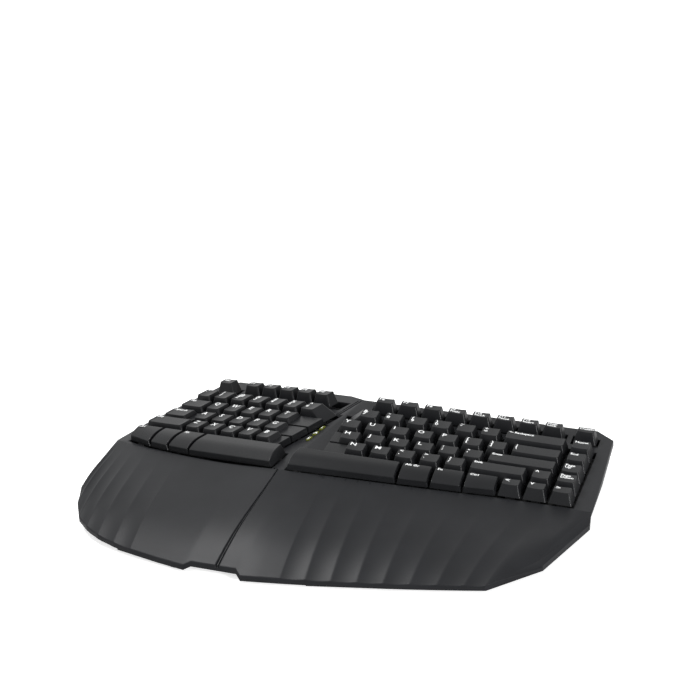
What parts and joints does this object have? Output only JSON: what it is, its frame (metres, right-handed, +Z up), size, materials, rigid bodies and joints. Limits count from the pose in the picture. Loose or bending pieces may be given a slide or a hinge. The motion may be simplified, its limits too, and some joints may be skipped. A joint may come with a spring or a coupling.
{
  "type": "ergonomic split keyboard",
  "caption": "Compact split keyboard with tented key fields, sculpted palm rest, lamp windows between the halves and fold-out feet.",
  "frame": {"origin": "centre of the footprint on the table, under the rubber pads", "axes": "+X to the user's right along the keyboard, +Y away from the user, +Z up"},
  "size_m": [0.403, 0.286, 0.052],
  "materials": {
    "cover": "fine grained matte, dark grey",
    "case": "matte black",
    "caps": "fine textured matte black with white key letters",
    "lens": "yellow-green translucent",
    "plate": "matte black",
    "dome_rubber": "milky silicone",
    "film": "clear printed film",
    "steel": "galvanised sheet",
    "board": "green solder mask",
    "pads": "matte black rubber",
    "bush": "matte black",
    "screws": "zinc plated"
  },
  "bodies": {
    "frame": {"back_plates": "steel", "bottom_case": "case", "cable_inlet": "bush", "case_screws": "screws", "controller_board": "board", "indicator_lenses": "lens", "left_dome_sheet": "dome_rubber", "left_key_plate": "plate", "left_membrane": "film", "right_dome_sheet": "dome_rubber", "right_key_plate": "plate", "right_membrane": "film", "rubber_pads": "pads", "top_cover": "cover"},
    "key_a_body": {"key_a": "caps"},
    "key_b_body": {"key_b": "caps"},
    "key_backspace_body": {"key_backspace": "caps"},
    "key_c_body": {"key_c": "caps"},
    "key_caps_lock_body": {"key_caps_lock": "caps"},
    "key_d_body": {"key_d": "caps"},
    "key_e_body": {"key_e": "caps"},
    "key_enter_body": {"key_enter": "caps"},
    "key_escape_body": {"key_escape": "caps"},
    "key_f_body": {"key_f": "caps"},
    "key_g_body": {"key_g": "caps"},
    "key_h_body": {"key_h": "caps"},
    "key_i_body": {"key_i": "caps"},
    "key_j_body": {"key_j": "caps"},
    "key_k_body": {"key_k": "caps"},
    "key_l_body": {"key_l": "caps"},
    "key_m_body": {"key_m": "caps"},
    "key_n_body": {"key_n": "caps"},
    "key_o_body": {"key_o": "caps"},
    "key_p_body": {"key_p": "caps"},
    "key_q_body": {"key_q": "caps"},
    "key_r_body": {"key_r": "caps"},
    "key_s_body": {"key_s": "caps"},
    "key_shift_left_body": {"key_shift_left": "caps"},
    "key_shift_right_body": {"key_shift_right": "caps"},
    "key_space_left_body": {"key_space_left": "caps"},
    "key_space_right_body": {"key_space_right": "caps"},
    "key_t_body": {"key_t": "caps"},
    "key_tab_body": {"key_tab": "caps"},
    "key_u_body": {"key_u": "caps"},
    "key_v_body": {"key_v": "caps"},
    "key_w_body": {"key_w": "caps"},
    "key_x_body": {"key_x": "caps"},
    "key_y_body": {"key_y": "caps"},
    "key_z_body": {"key_z": "caps"},
    "keys_arrow_body": {"keys_arrow": "caps"},
    "keys_digit_left_body": {"keys_digit_left": "caps"},
    "keys_digit_right_body": {"keys_digit_right": "caps"},
    "keys_function_left_body": {"keys_function_left": "caps"},
    "keys_function_right_body": {"keys_function_right": "caps"},
    "keys_modifier_left_body": {"keys_modifier_left": "caps"},
    "keys_modifier_right_body": {"keys_modifier_right": "caps"},
    "keys_navigation_body": {"keys_navigation": "caps"},
    "keys_punctuation_body": {"keys_punctuation": "caps"},
    "left_foot_body": {"left_foot": "case"},
    "right_foot_body": {"right_foot": "case"}
  },
  "joints": [
    {"name": "key_a_travel", "type": "slide", "parent": "frame", "child": "key_a_body", "axis": [0.1177, 0, -0.993], "range_m": [0, 0.0034], "stiffness_N_per_m": 80, "springref_m": -0.006, "deforming": ["left_dome_sheet"]},
    {"name": "key_b_travel", "type": "slide", "parent": "frame", "child": "key_b_body", "axis": [0.1177, 0, -0.993], "range_m": [0, 0.0034], "stiffness_N_per_m": 80, "springref_m": -0.006, "deforming": ["left_dome_sheet"]},
    {"name": "key_backspace_travel", "type": "slide", "parent": "frame", "child": "key_backspace_body", "axis": [-0.1177, 0, -0.993], "range_m": [0, 0.0034], "stiffness_N_per_m": 80, "springref_m": -0.006, "deforming": ["right_dome_sheet"]},
    {"name": "key_c_travel", "type": "slide", "parent": "frame", "child": "key_c_body", "axis": [0.1177, 0, -0.993], "range_m": [0, 0.0034], "stiffness_N_per_m": 80, "springref_m": -0.006, "deforming": ["left_dome_sheet"]},
    {"name": "key_caps_lock_travel", "type": "slide", "parent": "frame", "child": "key_caps_lock_body", "axis": [0.1177, 0, -0.993], "range_m": [0, 0.0034], "stiffness_N_per_m": 80, "springref_m": -0.006, "deforming": ["left_dome_sheet"]},
    {"name": "key_d_travel", "type": "slide", "parent": "frame", "child": "key_d_body", "axis": [0.1177, 0, -0.993], "range_m": [0, 0.0034], "stiffness_N_per_m": 80, "springref_m": -0.006, "deforming": ["left_dome_sheet"]},
    {"name": "key_e_travel", "type": "slide", "parent": "frame", "child": "key_e_body", "axis": [0.1177, 0, -0.993], "range_m": [0, 0.0034], "stiffness_N_per_m": 80, "springref_m": -0.006, "deforming": ["left_dome_sheet"]},
    {"name": "key_enter_travel", "type": "slide", "parent": "frame", "child": "key_enter_body", "axis": [-0.1177, 0, -0.993], "range_m": [0, 0.0034], "stiffness_N_per_m": 80, "springref_m": -0.006, "deforming": ["right_dome_sheet"]},
    {"name": "key_escape_travel", "type": "slide", "parent": "frame", "child": "key_escape_body", "axis": [0.1177, 0, -0.993], "range_m": [0, 0.0034], "stiffness_N_per_m": 80, "springref_m": -0.006, "deforming": ["left_dome_sheet"]},
    {"name": "key_f_travel", "type": "slide", "parent": "frame", "child": "key_f_body", "axis": [0.1177, 0, -0.993], "range_m": [0, 0.0034], "stiffness_N_per_m": 80, "springref_m": -0.006, "deforming": ["left_dome_sheet"]},
    {"name": "key_g_travel", "type": "slide", "parent": "frame", "child": "key_g_body", "axis": [0.1177, 0, -0.993], "range_m": [0, 0.0034], "stiffness_N_per_m": 80, "springref_m": -0.006, "deforming": ["left_dome_sheet"]},
    {"name": "key_h_travel", "type": "slide", "parent": "frame", "child": "key_h_body", "axis": [-0.1177, 0, -0.993], "range_m": [0, 0.0034], "stiffness_N_per_m": 80, "springref_m": -0.006, "deforming": ["right_dome_sheet"]},
    {"name": "key_i_travel", "type": "slide", "parent": "frame", "child": "key_i_body", "axis": [-0.1177, 0, -0.993], "range_m": [0, 0.0034], "stiffness_N_per_m": 80, "springref_m": -0.006, "deforming": ["right_dome_sheet"]},
    {"name": "key_j_travel", "type": "slide", "parent": "frame", "child": "key_j_body", "axis": [-0.1177, 0, -0.993], "range_m": [0, 0.0034], "stiffness_N_per_m": 80, "springref_m": -0.006, "deforming": ["right_dome_sheet"]},
    {"name": "key_k_travel", "type": "slide", "parent": "frame", "child": "key_k_body", "axis": [-0.1177, 0, -0.993], "range_m": [0, 0.0034], "stiffness_N_per_m": 80, "springref_m": -0.006, "deforming": ["right_dome_sheet"]},
    {"name": "key_l_travel", "type": "slide", "parent": "frame", "child": "key_l_body", "axis": [-0.1177, 0, -0.993], "range_m": [0, 0.0034], "stiffness_N_per_m": 80, "springref_m": -0.006, "deforming": ["right_dome_sheet"]},
    {"name": "key_m_travel", "type": "slide", "parent": "frame", "child": "key_m_body", "axis": [-0.1177, 0, -0.993], "range_m": [0, 0.0034], "stiffness_N_per_m": 80, "springref_m": -0.006, "deforming": ["right_dome_sheet"]},
    {"name": "key_n_travel", "type": "slide", "parent": "frame", "child": "key_n_body", "axis": [-0.1177, 0, -0.993], "range_m": [0, 0.0034], "stiffness_N_per_m": 80, "springref_m": -0.006, "deforming": ["right_dome_sheet"]},
    {"name": "key_o_travel", "type": "slide", "parent": "frame", "child": "key_o_body", "axis": [-0.1177, 0, -0.993], "range_m": [0, 0.0034], "stiffness_N_per_m": 80, "springref_m": -0.006, "deforming": ["right_dome_sheet"]},
    {"name": "key_p_travel", "type": "slide", "parent": "frame", "child": "key_p_body", "axis": [-0.1177, 0, -0.993], "range_m": [0, 0.0034], "stiffness_N_per_m": 80, "springref_m": -0.006, "deforming": ["right_dome_sheet"]},
    {"name": "key_q_travel", "type": "slide", "parent": "frame", "child": "key_q_body", "axis": [0.1177, 0, -0.993], "range_m": [0, 0.0034], "stiffness_N_per_m": 80, "springref_m": -0.006, "deforming": ["left_dome_sheet"]},
    {"name": "key_r_travel", "type": "slide", "parent": "frame", "child": "key_r_body", "axis": [0.1177, 0, -0.993], "range_m": [0, 0.0034], "stiffness_N_per_m": 80, "springref_m": -0.006, "deforming": ["left_dome_sheet"]},
    {"name": "key_s_travel", "type": "slide", "parent": "frame", "child": "key_s_body", "axis": [0.1177, 0, -0.993], "range_m": [0, 0.0034], "stiffness_N_per_m": 80, "springref_m": -0.006, "deforming": ["left_dome_sheet"]},
    {"name": "key_shift_left_travel", "type": "slide", "parent": "frame", "child": "key_shift_left_body", "axis": [0.1177, 0, -0.993], "range_m": [0, 0.0034], "stiffness_N_per_m": 80, "springref_m": -0.006, "deforming": ["left_dome_sheet"]},
    {"name": "key_shift_right_travel", "type": "slide", "parent": "frame", "child": "key_shift_right_body", "axis": [-0.1177, 0, -0.993], "range_m": [0, 0.0034], "stiffness_N_per_m": 80, "springref_m": -0.006, "deforming": ["right_dome_sheet"]},
    {"name": "key_space_left_travel", "type": "slide", "parent": "frame", "child": "key_space_left_body", "axis": [0.1177, 0, -0.993], "range_m": [0, 0.0034], "stiffness_N_per_m": 80, "springref_m": -0.006, "deforming": ["left_dome_sheet"]},
    {"name": "key_space_right_travel", "type": "slide", "parent": "frame", "child": "key_space_right_body", "axis": [-0.1177, 0, -0.993], "range_m": [0, 0.0034], "stiffness_N_per_m": 80, "springref_m": -0.006, "deforming": ["right_dome_sheet"]},
    {"name": "key_t_travel", "type": "slide", "parent": "frame", "child": "key_t_body", "axis": [0.1177, 0, -0.993], "range_m": [0, 0.0034], "stiffness_N_per_m": 80, "springref_m": -0.006, "deforming": ["left_dome_sheet"]},
    {"name": "key_tab_travel", "type": "slide", "parent": "frame", "child": "key_tab_body", "axis": [0.1177, 0, -0.993], "range_m": [0, 0.0034], "stiffness_N_per_m": 80, "springref_m": -0.006, "deforming": ["left_dome_sheet"]},
    {"name": "key_u_travel", "type": "slide", "parent": "frame", "child": "key_u_body", "axis": [-0.1177, 0, -0.993], "range_m": [0, 0.0034], "stiffness_N_per_m": 80, "springref_m": -0.006, "deforming": ["right_dome_sheet"]},
    {"name": "key_v_travel", "type": "slide", "parent": "frame", "child": "key_v_body", "axis": [0.1177, 0, -0.993], "range_m": [0, 0.0034], "stiffness_N_per_m": 80, "springref_m": -0.006, "deforming": ["left_dome_sheet"]},
    {"name": "key_w_travel", "type": "slide", "parent": "frame", "child": "key_w_body", "axis": [0.1177, 0, -0.993], "range_m": [0, 0.0034], "stiffness_N_per_m": 80, "springref_m": -0.006, "deforming": ["left_dome_sheet"]},
    {"name": "key_x_travel", "type": "slide", "parent": "frame", "child": "key_x_body", "axis": [0.1177, 0, -0.993], "range_m": [0, 0.0034], "stiffness_N_per_m": 80, "springref_m": -0.006, "deforming": ["left_dome_sheet"]},
    {"name": "key_y_travel", "type": "slide", "parent": "frame", "child": "key_y_body", "axis": [-0.1177, 0, -0.993], "range_m": [0, 0.0034], "stiffness_N_per_m": 80, "springref_m": -0.006, "deforming": ["right_dome_sheet"]},
    {"name": "key_z_travel", "type": "slide", "parent": "frame", "child": "key_z_body", "axis": [0.1177, 0, -0.993], "range_m": [0, 0.0034], "stiffness_N_per_m": 80, "springref_m": -0.006, "deforming": ["left_dome_sheet"]},
    {"name": "keys_arrow_travel", "type": "slide", "parent": "frame", "child": "keys_arrow_body", "axis": [-0.1177, 0, -0.993], "range_m": [0, 0.0034], "stiffness_N_per_m": 80, "springref_m": -0.006, "deforming": ["right_dome_sheet"]},
    {"name": "keys_digit_left_travel", "type": "slide", "parent": "frame", "child": "keys_digit_left_body", "axis": [0.1177, 0, -0.993], "range_m": [0, 0.0034], "stiffness_N_per_m": 80, "springref_m": -0.006, "deforming": ["left_dome_sheet"]},
    {"name": "keys_digit_right_travel", "type": "slide", "parent": "frame", "child": "keys_digit_right_body", "axis": [-0.1177, 0, -0.993], "range_m": [0, 0.0034], "stiffness_N_per_m": 80, "springref_m": -0.006, "deforming": ["right_dome_sheet"]},
    {"name": "keys_function_left_travel", "type": "slide", "parent": "frame", "child": "keys_function_left_body", "axis": [0.1177, 0, -0.993], "range_m": [0, 0.0034], "stiffness_N_per_m": 80, "springref_m": -0.006, "deforming": ["left_dome_sheet"]},
    {"name": "keys_function_right_travel", "type": "slide", "parent": "frame", "child": "keys_function_right_body", "axis": [-0.1177, 0, -0.993], "range_m": [0, 0.0034], "stiffness_N_per_m": 80, "springref_m": -0.006, "deforming": ["right_dome_sheet"]},
    {"name": "keys_modifier_left_travel", "type": "slide", "parent": "frame", "child": "keys_modifier_left_body", "axis": [0.1177, 0, -0.993], "range_m": [0, 0.0034], "stiffness_N_per_m": 80, "springref_m": -0.006, "deforming": ["left_dome_sheet"]},
    {"name": "keys_modifier_right_travel", "type": "slide", "parent": "frame", "child": "keys_modifier_right_body", "axis": [-0.1177, 0, -0.993], "range_m": [0, 0.0034], "stiffness_N_per_m": 80, "springref_m": -0.006, "deforming": ["right_dome_sheet"]},
    {"name": "keys_navigation_travel", "type": "slide", "parent": "frame", "child": "keys_navigation_body", "axis": [-0.1177, 0, -0.993], "range_m": [0, 0.0034], "stiffness_N_per_m": 80, "springref_m": -0.006, "deforming": ["right_dome_sheet"]},
    {"name": "keys_punctuation_travel", "type": "slide", "parent": "frame", "child": "keys_punctuation_body", "axis": [-0.1177, 0, -0.993], "range_m": [0, 0.0034], "stiffness_N_per_m": 80, "springref_m": -0.006, "deforming": ["right_dome_sheet"]},
    {"name": "left_foot_fold", "type": "hinge", "parent": "frame", "child": "left_foot_body", "pos_m": [-0.12692, 0.06628, 0.0053], "axis": [1, 0, 0], "range_deg": [0, 90]},
    {"name": "right_foot_fold", "type": "hinge", "parent": "frame", "child": "right_foot_body", "pos_m": [0.09978, 0.07771, 0.0053], "axis": [1, 0, 0], "range_deg": [0, 90]}
  ]
}
